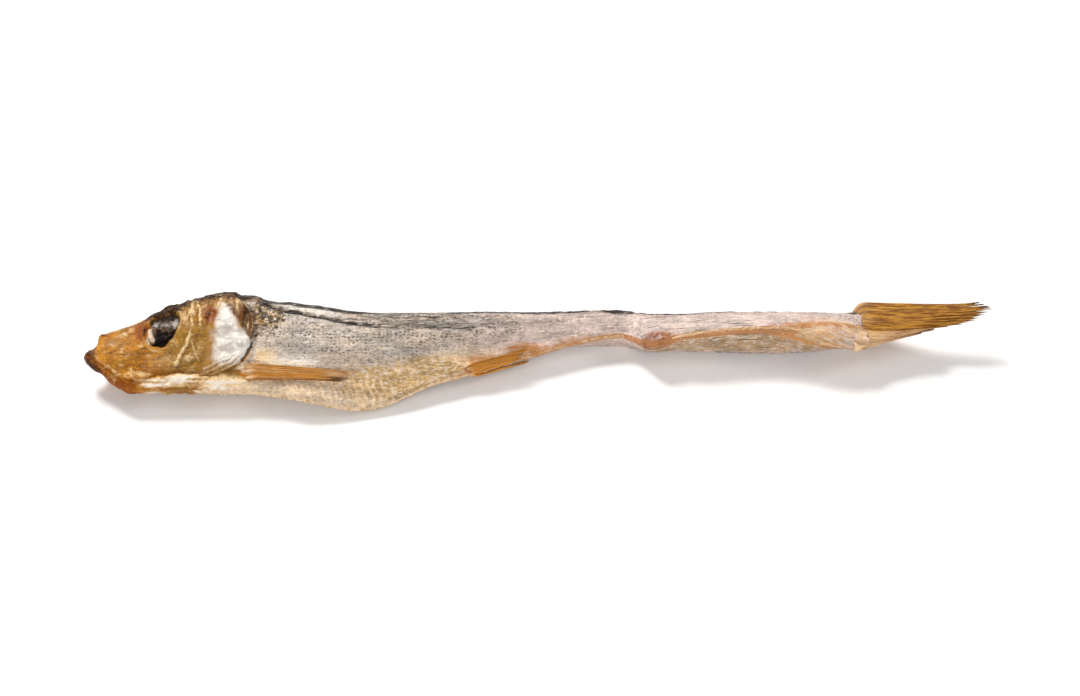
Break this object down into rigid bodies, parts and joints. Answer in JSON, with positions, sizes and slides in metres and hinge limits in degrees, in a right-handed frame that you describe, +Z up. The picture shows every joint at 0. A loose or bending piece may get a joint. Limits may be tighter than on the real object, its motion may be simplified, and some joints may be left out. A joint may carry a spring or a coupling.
{
  "type": "dried sprat",
  "caption": "Small whole dried fish lying on its side: amber head with sunken eye and pearly gill cover, silver-grey flank, thin belly, twisted tail half and frayed amber fins.",
  "frame": {"origin": "centre of the footprint's bounding box, on the surface that the fish lies on", "axes": "+X from the snout to the tail, +Y to the side that the fish's back is on, +Z up; the fish lies on its right side with its left side up"},
  "size_m": [0.115, 0.016, 0.0087],
  "materials": {
    "dried_skin": "silver-grey dried skin with a dull oily sheen, amber at the head and fins"
  },
  "bodies": {
    "root": {"sprat": "dried_skin"}
  },
  "joints": []
}
